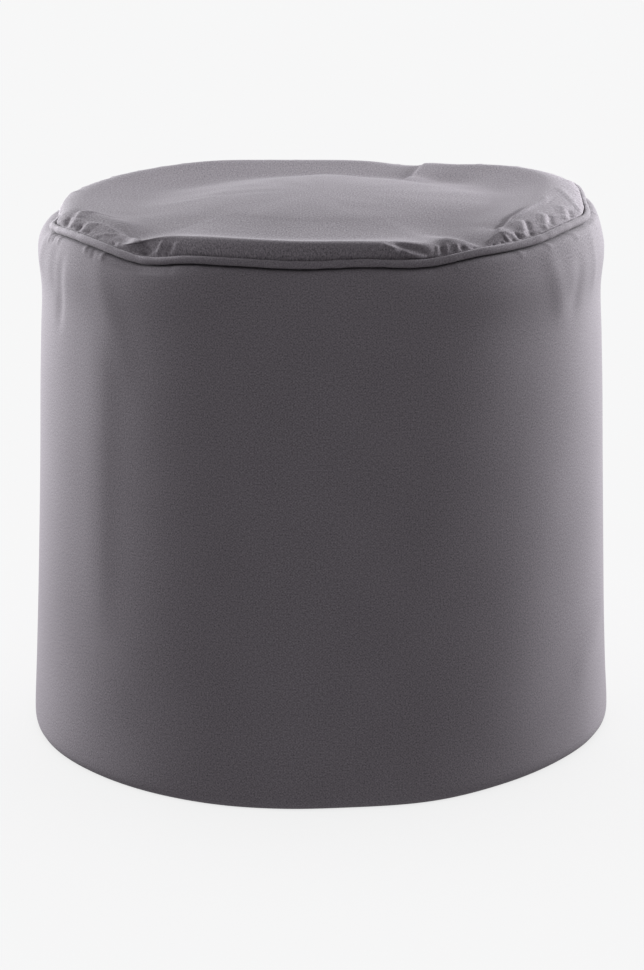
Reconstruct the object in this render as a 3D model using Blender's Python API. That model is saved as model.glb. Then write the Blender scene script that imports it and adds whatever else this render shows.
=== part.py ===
"""Round bead-filled pouf in grey woven cloth.

Four cut pieces make it: a top disc, a side band, a corded piping sewn into the
seam between them, and a base disc. The top disc and the side band are modelled
with the filling that they hold, so each is one solid with the true outer form.

Lengths are metres, and millimetres in the tables. Turns are degrees about +Z:
0 faces -Y, the front, and 90 faces +X. The origin is on the floor under the
middle of the pouf.
"""

import math
from collections import namedtuple

import bmesh
import bpy
import numpy as np

MM = 0.001

# Driving sizes
SEAM_RADIUS = 227.0 * MM
SHOULDER_RADIUS = 237.4 * MM
CROWN_HEIGHT = 462.0 * MM
PIPING_RADIUS = 3.15 * MM
PIPING_OUT = 2.6 * MM
PIPING_UP = 0.2 * MM
BASE_THICKNESS = 2.0 * MM
BASE_INSET = 4.0 * MM
FOOT_HEIGHT = 1.2 * MM
HEM_HEIGHT = 1.0 * MM
GAP = 0.3 * MM
COLUMNS = 128

# The rim of the top, one row for each section round it.
# seam: where the top and the side are sewn. crest: the roll of cloth inside the
# seam. lean: how far the roll bulges out over the seam. moat: the low ring
# inside the roll. crown: the edge of the filled middle.
Section = namedtuple("Section", "turn seam_r seam_z crest_r crest_z lean moat_r moat_z crown_r crown_z")
RIM = (
    Section(-180, 227.0, 440.6, 205.0, 453.3, 0.0, 156.0, 448.0, 113.0, 455.0),
    Section(-164, 227.0, 442.0, 205.0, 454.8, 0.0, 155.0, 448.0, 106.0, 455.0),
    Section(-150, 226.5, 443.0, 207.0, 456.3, 0.0, 153.0, 448.0, 103.0, 455.0),
    Section(-130, 224.0, 443.5, 206.0, 456.0, 1.0, 151.0, 448.2, 103.0, 455.0),
    Section(-112, 219.5, 444.0, 205.0, 455.4, 3.0, 150.0, 449.6, 105.0, 455.2),
    Section(-97, 216.5, 445.0, 205.0, 456.0, 4.0, 151.0, 450.4, 109.0, 455.4),
    Section(-88, 215.5, 444.4, 205.0, 456.8, 4.5, 153.0, 451.0, 113.0, 455.7),
    Section(-83, 216.5, 443.8, 205.5, 457.3, 4.0, 156.0, 451.4, 115.0, 455.9),
    Section(-78, 222.5, 443.2, 207.0, 457.6, 1.5, 158.0, 451.8, 116.5, 456.1),
    Section(-74, 227.8, 443.6, 208.0, 457.6, 0.5, 160.0, 452.2, 117.5, 456.2),
    Section(-69, 228.0, 444.3, 203.0, 456.8, 0.0, 163.0, 452.4, 118.5, 456.4),
    Section(-63, 227.4, 445.6, 198.0, 456.0, -1.0, 166.0, 453.0, 120.0, 456.6),
    Section(-55, 227.0, 445.1, 193.0, 454.4, -1.0, 170.0, 452.6, 122.0, 457.0),
    Section(-50, 226.8, 443.7, 204.0, 450.8, -1.0, 172.0, 452.2, 123.0, 457.2),
    Section(-46, 226.7, 441.8, 219.0, 447.4, 0.4, 175.0, 452.0, 124.0, 457.4),
    Section(-43, 226.6, 440.3, 222.8, 449.4, -1.2, 178.0, 452.0, 124.5, 457.6),
    Section(-41, 226.6, 439.4, 223.4, 451.4, -2.0, 180.0, 452.6, 125.0, 457.8),
    Section(-38, 226.6, 438.8, 223.0, 455.2, -2.0, 182.0, 453.4, 125.0, 457.9),
    Section(-34, 226.6, 440.0, 220.0, 458.6, -0.6, 183.0, 454.6, 125.0, 458.0),
    Section(-28, 226.5, 443.6, 218.0, 460.3, 1.0, 183.0, 455.4, 125.0, 458.2),
    Section(-18, 226.5, 445.0, 216.5, 461.4, 0.8, 183.0, 456.0, 125.0, 458.2),
    Section(-4, 226.5, 444.4, 216.0, 461.2, 0.8, 183.0, 456.2, 125.0, 458.2),
    Section(9, 226.5, 445.6, 216.0, 460.6, 1.0, 182.0, 456.0, 125.0, 458.2),
    Section(18, 226.5, 443.4, 217.0, 458.6, 1.2, 180.0, 455.5, 126.0, 458.0),
    Section(22, 226.5, 443.4, 217.5, 456.8, 1.2, 180.0, 455.2, 126.5, 457.9),
    Section(25, 226.5, 444.4, 212.0, 456.4, -0.8, 180.0, 455.0, 127.0, 457.8),
    Section(28, 226.5, 445.8, 211.5, 457.8, -1.5, 178.5, 454.0, 127.0, 457.6),
    Section(31, 226.4, 447.0, 213.5, 455.6, -1.5, 178.0, 453.0, 127.0, 457.5),
    Section(34.5, 226.3, 447.8, 217.0, 450.7, -1.0, 176.0, 452.6, 128.0, 457.3),
    Section(36, 226.3, 447.8, 215.0, 451.4, -1.5, 175.0, 452.6, 128.2, 457.2),
    Section(38, 226.2, 447.9, 212.0, 453.8, -2.0, 173.0, 452.8, 128.5, 457.2),
    Section(40.5, 226.0, 448.0, 210.0, 456.6, -2.0, 170.0, 453.2, 129.0, 457.2),
    Section(43, 225.8, 448.2, 210.0, 458.1, -2.0, 168.0, 453.7, 129.5, 457.3),
    Section(45.5, 225.7, 448.5, 209.5, 458.0, -2.0, 166.0, 454.3, 130.0, 457.4),
    Section(49, 225.6, 449.1, 204.5, 459.7, -2.0, 163.5, 455.2, 131.0, 457.6),
    Section(58, 224.2, 451.4, 193.5, 462.2, -1.2, 158.0, 456.4, 134.0, 458.2),
    Section(66, 224.2, 452.0, 190.5, 462.7, 0.0, 156.0, 457.0, 135.0, 458.6),
    Section(72, 225.2, 451.8, 189.0, 462.8, 2.0, 155.0, 457.2, 136.0, 458.8),
    Section(78, 222.4, 451.6, 189.0, 462.9, 3.2, 155.0, 457.2, 136.0, 458.6),
    Section(88, 217.8, 452.6, 190.5, 463.0, 4.0, 156.0, 456.8, 136.0, 458.0),
    Section(97, 219.6, 454.8, 196.0, 463.2, 4.0, 159.0, 455.4, 134.0, 457.0),
    Section(105, 223.6, 454.4, 202.0, 463.2, 4.0, 161.0, 453.8, 131.0, 456.0),
    Section(120, 226.5, 452.5, 209.5, 461.6, 2.5, 163.0, 451.6, 122.0, 455.2),
    Section(134, 226.5, 450.5, 211.0, 458.6, 1.0, 164.0, 449.0, 114.0, 455.0),
    Section(146, 226.5, 446.0, 207.0, 454.8, 0.5, 161.0, 448.2, 111.0, 455.0),
    Section(153, 226.5, 443.8, 205.0, 452.2, 0.0, 158.0, 447.8, 110.0, 455.0),
    Section(158, 226.6, 443.0, 204.0, 450.9, 0.0, 157.0, 447.6, 110.0, 455.0),
    Section(168, 226.8, 442.0, 205.0, 452.6, 0.0, 156.0, 447.8, 112.0, 455.0),
)

# The hidden face where the top lies on the side: it domes up in the middle, dips
# under the moat and rises again to SEAM_INSET inside the seam. Its rings are
# shares of the seam's radius with their heights.
Ring = namedtuple("Ring", "radius height")
BED_PEAK = 451.0 * MM
BED = (Ring(0.28, 449.0), Ring(0.55, 441.0), Ring(0.78, 433.5))
BED_EDGE = Ring(0.92, -8.0)
SEAM_INSET = 1.0 * MM

# The roll: its outer face as shares of the way in from the seam and up to the
# crest, and its back as shares of the way in to the moat and down.
RollPoint = namedtuple("RollPoint", "inward height")
ROLL_FOOT = RollPoint(0.4 * MM, 2.5 * MM)
ROLL_FACE = (RollPoint(0.12, 0.42), RollPoint(0.44, 0.8))
ROLL_BACK = RollPoint(0.42, 0.48)

# The filled middle: shares of crown_r, and shares of the way up from crown_z to
# CROWN_HEIGHT there.
MOAT_SAG = 0.6 * MM
CROWN = (Ring(1.0, 0.0), Ring(0.82, 0.47), Ring(0.48, 0.86), Ring(0.16, 0.985))

# The side band tucks in under the piping, and reaches its shoulder below it.
TUCK = (Ring(-0.2, -2.7), Ring(3.6, -4.4))
SHOULDER_SHARE = 0.72
SHOULDER_DROP = 8.5 * MM

# The side band from its shoulder down to the floor.
SIDE = (
    Ring(237.4, 427.0),
    Ring(238.7, 412.0),
    Ring(236.4, 383.0),
    Ring(237.9, 345.0),
    Ring(239.6, 300.0),
    Ring(241.3, 240.0),
    Ring(243.4, 175.0),
    Ring(245.5, 115.0),
    Ring(247.8, 60.0),
    Ring(249.6, 18.0),
    Ring(249.0, 6.0),
)

# Where the side band meets the floor. The unevenness dies out at FOOT_REACH.
FOOT_REACH = 90.0
FOOT_FADE = 1.5
Foot = namedtuple("Foot", "turn radius")
FOOT = (
    Foot(-180, 246.5),
    Foot(-140, 247.5),
    Foot(-100, 246.5),
    Foot(-68, 248.5),
    Foot(-50, 249.0),
    Foot(-30, 250.8),
    Foot(-18, 250.5),
    Foot(-7, 247.5),
    Foot(4, 243.8),
    Foot(22, 245.2),
    Foot(38, 240.8),
    Foot(56, 239.8),
    Foot(70, 243.0),
    Foot(84, 246.5),
    Foot(110, 247.5),
    Foot(150, 247.0),
)

# Gathers and soft folds. near and far are the turns of a fold's two ends, start
# and reach their distances from the seam, and a negative height is a trough.
Fold = namedtuple("Fold", "near start far reach width height")
TOP_FOLDS = (
    Fold(-64.7, 3, -67.1, 14, 4.5, 1.8),
    Fold(-67.1, 14, -71, 25, 4.5, 1.6),
    Fold(-67, 3, -70.2, 12, 4.5, -1.8),
    Fold(-59, 3, -61.9, 15, 4.5, 1.5),
    Fold(-49.9, 18, -39.4, 15, 4.5, 2.6),
    Fold(-43, 6, -36.6, 9, 4.5, -1.4),
    Fold(12, 15, 21.4, 4, 4.5, 2.0),
    Fold(14.8, 18, 22, 7, 4.5, -2.0),
    Fold(36.8, 11, 43.6, 15, 4.5, 1.0),
    Fold(42, 21, 51.4, 34, 4.5, 1.2),
    Fold(51.4, 34, 66.8, 40, 4.5, 1.1),
    Fold(46.9, 4, 51.8, 25, 4.5, 1.3),
    Fold(50.5, 4, 54.4, 22, 4.5, -1.3),
    Fold(54.6, 4, 61.1, 21, 4.5, 1.0),
    Fold(59, 6, 64, 17, 4.5, -0.9),
    Fold(64.1, 4, 72.4, 20, 4.5, 0.9),
    Fold(72.6, 4, 92.6, 25, 4.5, 0.8),
    Fold(153.5, 14, 146.5, 112, 9.0, 2.8),
    Fold(-171, 3, -168, 16, 6.0, 0.7),
    Fold(-140, 3, -137, 17, 7.0, 0.8),
    Fold(-121, 3, -118, 16, 6.0, -1.0),
    Fold(-102, 3, -99, 17, 6.0, 0.8),
)
SIDE_FOLDS = (
    Fold(-50, 40, -51, 330, 22.0, 1.6),
    Fold(-74, 12, -79, 52, 8.0, 1.1),
    Fold(-66, 14, -68, 60, 9.0, -0.8),
    Fold(-50, 14, -40, 110, 14.0, 0.8),
    Fold(50, 16, 56, 80, 10.0, 0.9),
    Fold(62, 30, 60, 84, 9.0, -0.7),
    Fold(70, 16, 71, 70, 9.0, 0.7),
    Fold(80, 330, 58, 392, 16.0, 1.2),
    Fold(120, 10, 128, 90, 12.0, 1.2),
    Fold(160, 12, 154, 96, 14.0, -1.1),
    Fold(-140, 12, -148, 90, 12.0, 1.2),
    Fold(-112, 14, -106, 80, 11.0, -1.0),
)
# A fold keeps END_SHARE of its height at its ends. None rises within SEWN_MARGIN
# of the seam, and each is at its full height FADE_IN further on.
END_SHARE = 0.15
SEWN_MARGIN = 3.0
FADE_IN = 5.0

# Looks that the solids carry
CLOTH_COLOUR = (0.118, 0.106, 0.119, 1.0)
PIPING_COLOUR = (0.130, 0.118, 0.131, 1.0)
CLOTH_ROUGHNESS = 0.92
SHARP_ANGLE = math.radians(50)


def around(table, name, turns):
    """A column's value at each turn: a smooth closed curve through the table's rows, in metres."""
    at = np.array([row.turn for row in table], float)
    values = np.array([getattr(row, name) for row in table]) * MM
    at = np.concatenate([at[-2:] - 360, at, at[:2] + 360])
    values = np.concatenate([values[-2:], values, values[:2]])
    slopes = np.gradient(values, at)
    wrapped = (np.asarray(turns) + 180) % 360 - 180
    left = np.clip(np.searchsorted(at, wrapped, side="right") - 1, 0, len(at) - 2)
    span = at[left + 1] - at[left]
    t = (wrapped - at[left]) / span
    rise = values[left + 1] - values[left]
    bend = (1 - t) * (slopes[left] * span - rise) - t * (slopes[left + 1] * span - rise)
    return values[left] + t * rise + t * (1 - t) * bend


def smooth_rows(keys, parts):
    """Rows on a Catmull-Rom curve through the key rows, parts[i] of them on span i."""
    keys = np.array([np.stack(key, axis=-1) for key in keys])
    keys = np.concatenate([2 * keys[:1] - keys[1:2], keys, 2 * keys[-1:] - keys[-2:-1]])
    rows = []
    for span, count in enumerate(parts):
        before, first, last, after = keys[span : span + 4]
        for t in np.arange(count) / count:
            straight = first + 0.5 * t * (last - before)
            square = t**2 * (before - 2.5 * first + 2 * last - 0.5 * after)
            cube = t**3 * (1.5 * (first - last) + 0.5 * (after - before))
            rows.append(straight + square + cube)
    rows.append(keys[-2])
    return np.array(rows)


def as_points(rows, turns):
    """Rows of (radius, height) as points round the axis: (row, column, xyz)."""
    angle = np.radians(turns)
    radius, height = rows[..., 0], rows[..., 1]
    return np.stack([radius * np.sin(angle), -radius * np.cos(angle), height], axis=-1)


def ring(radius, height, turns):
    """One closed ring of points at a radius and a height that may change round it."""
    radius, height = np.broadcast_arrays(radius, height, turns)[:2]
    return as_points(np.stack([radius, height], axis=-1), turns)


def outward(points, side):
    """Unit normals of a band of points; side is +1 where its rows run inwards, -1 where they run down."""
    along = np.gradient(points, axis=0)
    across = np.roll(points, -1, axis=1) - np.roll(points, 1, axis=1)
    normals = side * np.cross(across, along)
    return normals / np.linalg.norm(normals, axis=-1, keepdims=True)


def lay_folds(points, turns, folds, side):
    """Raises each fold along the normals, as a soft ridge about the line between its ends."""
    steps = np.linalg.norm(np.diff(points, axis=0), axis=-1)
    from_seam = np.concatenate([np.zeros((1, len(turns))), np.cumsum(steps, axis=0)]) / MM
    radius = np.hypot(points[..., 0], points[..., 1]) / MM
    lift = np.zeros(from_seam.shape)
    for fold in folds:
        middle = (fold.near + fold.far) / 2
        half = math.radians(fold.far - fold.near) / 2 * SEAM_RADIUS / MM
        run, rise = 2 * half, fold.reach - fold.start
        sideways = np.radians((turns - middle + 180) % 360 - 180) * radius + half
        down = from_seam - fold.start
        share = np.clip((sideways * run + down * rise) / (run**2 + rise**2), 0, 1)
        away = np.hypot(sideways - share * run, down - share * rise)
        taper = np.clip(1 + END_SHARE - np.abs(2 * share - 1) ** 3, 0, 1)
        lift += fold.height * MM * taper * np.exp(-((away / fold.width) ** 2))
    lift *= np.clip((from_seam - SEWN_MARGIN) / FADE_IN, 0, 1)
    return points + outward(points, side) * lift[..., None]


def top_points(turns):
    """The top disc's cloth from the seam over the roll and the moat to the crown."""
    at = Section(turns, *(around(RIM, name, turns) for name in Section._fields[1:]))
    breadth, rise = at.seam_r - at.crest_r, at.crest_z - at.seam_z
    width, depth = at.crest_r - at.moat_r, at.crest_z - at.moat_z
    between = (at.moat_z + at.crown_z) / 2 - MOAT_SAG
    keys = [(at.seam_r - SEAM_INSET, at.seam_z + GAP / 2)]
    keys.append((at.seam_r - ROLL_FOOT.inward, at.seam_z + ROLL_FOOT.height))
    for face in ROLL_FACE:
        keys.append((at.seam_r + at.lean - face.inward * breadth, at.seam_z + face.height * rise))
    keys.append((at.crest_r, at.crest_z))
    keys.append((at.crest_r - ROLL_BACK.inward * width, at.crest_z - ROLL_BACK.height * depth))
    keys.append((at.moat_r, at.moat_z))
    keys.append(((at.moat_r + at.crown_r) / 2, between))
    for level in CROWN:
        keys.append((level.radius * at.crown_r, at.crown_z + level.height * (CROWN_HEIGHT - at.crown_z)))
    parts = (1,) + (2,) * (len(keys) - 3) + (1,)
    return as_points(smooth_rows(keys, parts), turns)


def side_points(turns):
    """The side band's cloth from the seam over its shoulder and down to the floor."""
    seam_r, seam_z = around(RIM, "seam_r", turns), around(RIM, "seam_z", turns)
    foot = around(FOOT, "radius", turns)
    spread = foot - np.mean(foot)
    keys = [(seam_r - SEAM_INSET, seam_z - GAP / 2)]
    for tuck in TUCK:
        keys.append((seam_r + tuck.radius * MM, seam_z + tuck.height * MM))
    keys.append((seam_r + SHOULDER_SHARE * (SHOULDER_RADIUS - seam_r), seam_z - SHOULDER_DROP))
    for level in SIDE:
        low = max(0, 1 - level.height / FOOT_REACH) ** FOOT_FADE
        keys.append((level.radius * MM + spread * low, np.full_like(turns, level.height * MM)))
    keys.append((foot, np.full_like(turns, FOOT_HEIGHT)))
    return as_points(smooth_rows(keys, (1,) * (len(keys) - 1)), turns)


def bed_rows(turns, side):
    """Rings of the hidden face: side +1 is the top solid's face there, -1 the side solid's."""
    radius = around(RIM, "seam_r", turns) - SEAM_INSET
    edge = around(RIM, "seam_z", turns) + BED_EDGE.height * MM
    lift = side * GAP / 2
    rows = [ring(level.radius * radius, level.height * MM + lift, turns) for level in BED]
    return rows + [ring(BED_EDGE.radius * radius, edge + lift, turns)]


def material(name, colour):
    """A matt cloth finish."""
    made = bpy.data.materials.new(name)
    made.use_nodes = True
    shader = made.node_tree.nodes["Principled BSDF"]
    shader.inputs["Base Color"].default_value = colour
    shader.inputs["Roughness"].default_value = CLOTH_ROUGHNESS
    shader.inputs["Metallic"].default_value = 0.0
    return made


def place(name, data, finish):
    """A new object of the pouf with its finish."""
    data.materials.append(finish)
    made = bpy.data.objects.new(name, data)
    POUF.objects.link(made)
    return made


def loft(name, rows, first_pole, last_pole, finish):
    """A closed solid through rings of points, shut by a pole at each end."""
    work = bmesh.new()
    rings = [[work.verts.new(point) for point in row] for row in rows]
    count = len(rings[0])
    for upper, lower in zip(rings, rings[1:]):
        for i in range(count):
            j = (i + 1) % count
            work.faces.new((upper[i], upper[j], lower[j], lower[i]))
    for edge, pole in ((rings[0], first_pole), (rings[-1], last_pole)):
        tip = work.verts.new(pole)
        for i in range(count):
            work.faces.new((edge[i], edge[(i + 1) % count], tip))
    bmesh.ops.triangulate(work, faces=work.faces)
    bmesh.ops.recalc_face_normals(work, faces=work.faces)
    mesh = bpy.data.meshes.new(name)
    work.to_mesh(mesh)
    work.free()
    mesh.shade_smooth()
    mesh.set_sharp_from_angle(angle=SHARP_ANGLE)
    return place(name, mesh, finish)


def closed_curve(name, points):
    """A curve on a closed polyline."""
    curve = bpy.data.curves.new(name, "CURVE")
    spline = curve.splines.new("POLY")
    spline.points.add(len(points) - 1)
    spline.points.foreach_set("co", np.column_stack([points, np.ones(len(points))]).ravel())
    spline.use_cyclic_u = True
    return curve


def top_panel(turns, finish):
    """The top disc with the filling just under it."""
    cloth = lay_folds(top_points(turns), turns, TOP_FOLDS, 1)
    rows = bed_rows(turns, 1) + list(cloth)
    return loft("top_panel", rows, (0, 0, BED_PEAK + GAP / 2), (0, 0, CROWN_HEIGHT), finish)


def side_panel(turns, finish):
    """The side band with the filling it holds, recessed at its foot for the base disc."""
    cloth = lay_folds(side_points(turns), turns, SIDE_FOLDS, -1)
    foot = np.hypot(cloth[-1, :, 0], cloth[-1, :, 1]) - BASE_INSET + GAP
    level = BASE_THICKNESS + GAP
    hem = [ring(foot, HEM_HEIGHT, turns), ring(foot, level, turns)]
    rows = bed_rows(turns, -1) + list(cloth) + hem
    return loft("side_panel", rows, (0, 0, BED_PEAK - GAP / 2), (0, 0, level), finish)


def piping(turns, finish):
    """The corded piping: one closed round tube that lies on the seam."""
    radius = around(RIM, "seam_r", turns) + PIPING_OUT
    height = around(RIM, "seam_z", turns) + PIPING_UP
    curve = closed_curve("piping", ring(radius, height, turns))
    curve.dimensions = "3D"
    curve.bevel_depth = PIPING_RADIUS
    curve.bevel_resolution = 2
    return place("piping", curve, finish)


def base_panel(turns, finish):
    """The flat disc that the pouf stands on, cut to the foot of the side band."""
    radius = around(FOOT, "radius", turns) - BASE_INSET
    curve = closed_curve("base_panel", ring(radius, 0.0, turns))
    curve.dimensions = "2D"
    curve.fill_mode = "BOTH"
    curve.extrude = BASE_THICKNESS / 2
    made = place("base_panel", curve, finish)
    made.location.z = BASE_THICKNESS / 2
    return made


for old in list(bpy.data.objects):
    bpy.data.objects.remove(old)
POUF = bpy.data.collections.new("pouf")
bpy.context.scene.collection.children.link(POUF)

turns_round = np.arange(COLUMNS) * 360 / COLUMNS - 180
grey_cloth = material("grey_woven_cloth", CLOTH_COLOUR)
piping_cloth = material("grey_piping_cloth", PIPING_COLOUR)
top_panel(turns_round, grey_cloth)
side_panel(turns_round, grey_cloth)
piping(turns_round, piping_cloth)
base_panel(turns_round, grey_cloth)
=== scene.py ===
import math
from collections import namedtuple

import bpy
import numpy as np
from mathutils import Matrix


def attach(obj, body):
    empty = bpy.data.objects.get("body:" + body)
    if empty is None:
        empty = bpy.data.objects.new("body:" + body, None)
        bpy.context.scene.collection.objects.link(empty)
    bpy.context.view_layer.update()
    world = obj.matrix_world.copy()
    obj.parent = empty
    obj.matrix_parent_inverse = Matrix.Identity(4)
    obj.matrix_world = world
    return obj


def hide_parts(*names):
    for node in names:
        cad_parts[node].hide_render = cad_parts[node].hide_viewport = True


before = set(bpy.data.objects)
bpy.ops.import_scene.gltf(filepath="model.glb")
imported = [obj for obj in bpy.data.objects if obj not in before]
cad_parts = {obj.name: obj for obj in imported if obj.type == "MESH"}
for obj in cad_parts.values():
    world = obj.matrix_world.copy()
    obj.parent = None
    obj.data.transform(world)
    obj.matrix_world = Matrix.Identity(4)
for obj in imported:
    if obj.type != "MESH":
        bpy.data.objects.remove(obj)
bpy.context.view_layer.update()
# Round pouf in grey woven cloth: the finished looks.
#
# The top disc, the side band, the corded piping and the base disc are worked out
# as fine surfaces in the place of the plain solids. Lengths are metres, and
# millimetres in the tables. Turns are degrees about +Z: 0 faces -Y, the front,
# and 90 faces +X.

MM = 0.001
WEAVE_UV = "weave"

# Driving sizes
SEAM_RADIUS = 227.0 * MM
SHOULDER_RADIUS = 237.4 * MM
CROWN_HEIGHT = 462.0 * MM
PIPING_RADIUS = 3.15 * MM
PIPING_OUT = 2.6 * MM
PIPING_UP = 0.2 * MM
BASE_THICKNESS = 2.0 * MM
BASE_INSET = 4.0 * MM
FOOT_HEIGHT = 1.2 * MM
HEM_HEIGHT = 1.0 * MM
GAP = 0.3 * MM

# Fineness of the surfaces: columns round the axis, and rows on each span.
TOP_COLUMNS = 960
TOP_ROWS = (2, 5, 7, 8, 10, 12, 12, 10, 8, 8, 5)
SIDE_COLUMNS = 840
SIDE_ROWS = (2, 3, 4, 8, 10, 14, 10, 8, 8, 8, 8, 6, 6, 4, 3)
PIPING_COLUMNS = 1100
PIPING_SIDES = 16
BASE_COLUMNS = 360

# The rim of the top, one row for each section round it.
# seam: where the top and the side are sewn. crest: the roll of cloth inside the
# seam. lean: how far the roll bulges out over the seam. moat: the low ring
# inside the roll. crown: the edge of the filled middle.
Section = namedtuple("Section", "turn seam_r seam_z crest_r crest_z lean moat_r moat_z crown_r crown_z")
RIM = (
    Section(-180, 227.0, 440.6, 205.0, 453.3, 0.0, 156.0, 448.0, 112.0, 456.4),
    Section(-164, 227.0, 442.0, 205.0, 454.8, 0.0, 155.0, 448.0, 105.0, 456.3),
    Section(-150, 226.5, 443.0, 207.0, 456.3, 0.0, 153.0, 448.0, 101.0, 455.8),
    Section(-130, 224.0, 443.5, 206.0, 456.0, 1.0, 151.0, 448.2, 99.5, 455.4),
    Section(-112, 219.5, 444.0, 205.0, 455.4, 3.0, 150.0, 449.6, 101.0, 455.2),
    Section(-97, 216.5, 445.0, 205.0, 456.0, 4.0, 151.0, 450.4, 106.0, 455.3),
    Section(-88, 215.5, 444.4, 205.0, 456.8, 4.5, 153.0, 451.0, 110.0, 455.5),
    Section(-83, 216.5, 443.8, 205.5, 457.3, 4.0, 156.0, 451.4, 115.0, 455.9),
    Section(-78, 222.5, 443.2, 207.0, 457.6, 1.5, 158.0, 451.8, 116.5, 456.1),
    Section(-74, 227.8, 443.6, 208.0, 457.6, 0.5, 160.0, 452.2, 117.5, 456.2),
    Section(-69, 228.0, 444.3, 203.0, 456.8, 0.0, 163.0, 452.4, 118.5, 456.4),
    Section(-63, 227.4, 445.6, 198.0, 456.0, -1.0, 166.0, 453.0, 120.0, 456.6),
    Section(-55, 227.0, 445.1, 193.0, 454.4, -1.0, 170.0, 452.6, 122.0, 457.0),
    Section(-50, 226.8, 443.7, 204.0, 450.8, -1.0, 172.0, 452.2, 123.0, 457.2),
    Section(-46, 226.7, 441.8, 219.0, 447.4, 0.4, 175.0, 452.0, 124.0, 457.4),
    Section(-43, 226.6, 440.3, 222.8, 449.4, -1.2, 178.0, 452.0, 124.5, 457.6),
    Section(-41, 226.6, 439.4, 223.4, 451.4, -2.0, 180.0, 452.6, 125.0, 457.8),
    Section(-38, 226.6, 438.8, 223.0, 455.2, -2.0, 182.0, 453.4, 125.0, 457.9),
    Section(-34, 226.6, 440.0, 220.0, 458.6, -0.6, 183.0, 454.6, 125.0, 458.0),
    Section(-28, 226.5, 443.6, 218.0, 460.3, 1.0, 183.0, 455.4, 125.0, 458.2),
    Section(-18, 226.5, 445.0, 216.5, 461.4, 0.8, 183.0, 456.0, 125.0, 458.2),
    Section(-4, 226.5, 444.4, 216.0, 461.2, 0.8, 183.0, 456.2, 125.0, 458.2),
    Section(9, 226.5, 445.6, 216.0, 460.6, 1.0, 182.0, 456.0, 125.0, 458.2),
    Section(18, 226.5, 443.4, 217.0, 458.6, 1.2, 180.0, 455.5, 126.0, 458.0),
    Section(22, 226.5, 443.4, 217.5, 456.8, 1.2, 180.0, 455.2, 126.5, 457.9),
    Section(25, 226.5, 444.4, 212.0, 456.4, -0.8, 180.0, 455.0, 127.0, 457.8),
    Section(28, 226.5, 445.8, 211.5, 457.8, -1.5, 178.5, 454.0, 127.0, 457.6),
    Section(31, 226.4, 447.0, 213.5, 455.6, -1.5, 178.0, 453.0, 127.0, 457.5),
    Section(34.5, 226.3, 447.8, 217.0, 450.7, -1.0, 176.0, 452.6, 128.0, 457.3),
    Section(36, 226.3, 447.8, 215.0, 451.4, -1.5, 175.0, 452.6, 128.2, 457.2),
    Section(38, 226.2, 447.9, 212.0, 453.8, -2.0, 173.0, 452.8, 128.5, 457.2),
    Section(40.5, 226.0, 448.0, 210.0, 456.6, -2.0, 170.0, 453.2, 129.0, 457.2),
    Section(43, 225.8, 448.2, 210.0, 458.1, -2.0, 168.0, 453.7, 129.5, 457.3),
    Section(45.5, 225.7, 448.5, 209.5, 458.0, -2.0, 166.0, 454.3, 130.0, 457.4),
    Section(49, 225.6, 449.1, 204.5, 459.7, -2.0, 163.5, 455.2, 131.0, 457.6),
    Section(58, 224.2, 451.4, 193.5, 462.2, -1.2, 158.0, 456.4, 134.0, 458.2),
    Section(66, 224.2, 452.0, 190.5, 462.7, 0.0, 156.0, 457.0, 135.0, 458.6),
    Section(72, 225.2, 451.8, 189.0, 462.8, 2.0, 155.0, 457.2, 136.0, 458.8),
    Section(78, 222.4, 451.6, 189.0, 462.9, 3.2, 155.0, 457.2, 136.0, 458.6),
    Section(88, 217.8, 452.6, 190.5, 463.0, 4.0, 156.0, 456.8, 136.0, 458.0),
    Section(97, 219.6, 454.8, 196.0, 463.2, 4.0, 159.0, 455.4, 134.0, 457.0),
    Section(105, 223.6, 454.4, 202.0, 463.2, 4.0, 161.0, 453.8, 131.0, 456.0),
    Section(120, 226.5, 452.5, 209.5, 461.6, 2.5, 163.0, 451.6, 122.0, 455.2),
    Section(134, 226.5, 450.5, 211.0, 458.6, 1.0, 164.0, 449.0, 114.0, 455.0),
    Section(146, 226.5, 446.0, 207.0, 454.8, 0.5, 161.0, 448.2, 111.0, 455.0),
    Section(153, 226.5, 443.8, 205.0, 452.2, 0.0, 158.0, 447.8, 110.0, 455.0),
    Section(158, 226.6, 443.0, 204.0, 450.9, 0.0, 157.0, 447.6, 110.0, 455.3),
    Section(168, 226.8, 442.0, 205.0, 452.6, 0.0, 156.0, 447.8, 112.0, 455.8),
)

# The hidden face where the top lies on the side: shares of the seam's radius with
# their heights, then the edge's share with its height over the seam.
Ring = namedtuple("Ring", "radius height")
BED_PEAK = 451.0 * MM
BED = (Ring(0.28, 449.0), Ring(0.55, 441.0), Ring(0.78, 433.5))
BED_EDGE = Ring(0.92, -8.0)
SEAM_INSET = 1.0 * MM

# The roll: its outer face as shares of the way in from the seam and up to the
# crest, and its back as shares of the way in to the moat and down.
RollPoint = namedtuple("RollPoint", "inward height")
ROLL_FOOT = RollPoint(0.4 * MM, 2.5 * MM)
ROLL_FACE = (RollPoint(0.12, 0.42), RollPoint(0.44, 0.8))
ROLL_BACK = RollPoint(0.42, 0.48)

# The filled middle: shares of crown_r, and shares of the way up from crown_z to
# CROWN_HEIGHT there.
MOAT_SAG = 0.6 * MM
CROWN = (Ring(1.0, 0.0), Ring(0.82, 0.47), Ring(0.48, 0.86), Ring(0.16, 0.985))

# The side band tucks in under the piping, and reaches its shoulder below it.
TUCK = (Ring(-3.0, -3.6), Ring(4.3, -4.7))
SHOULDER_SHARE = 0.72
SHOULDER_DROP = 8.5 * MM

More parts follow.
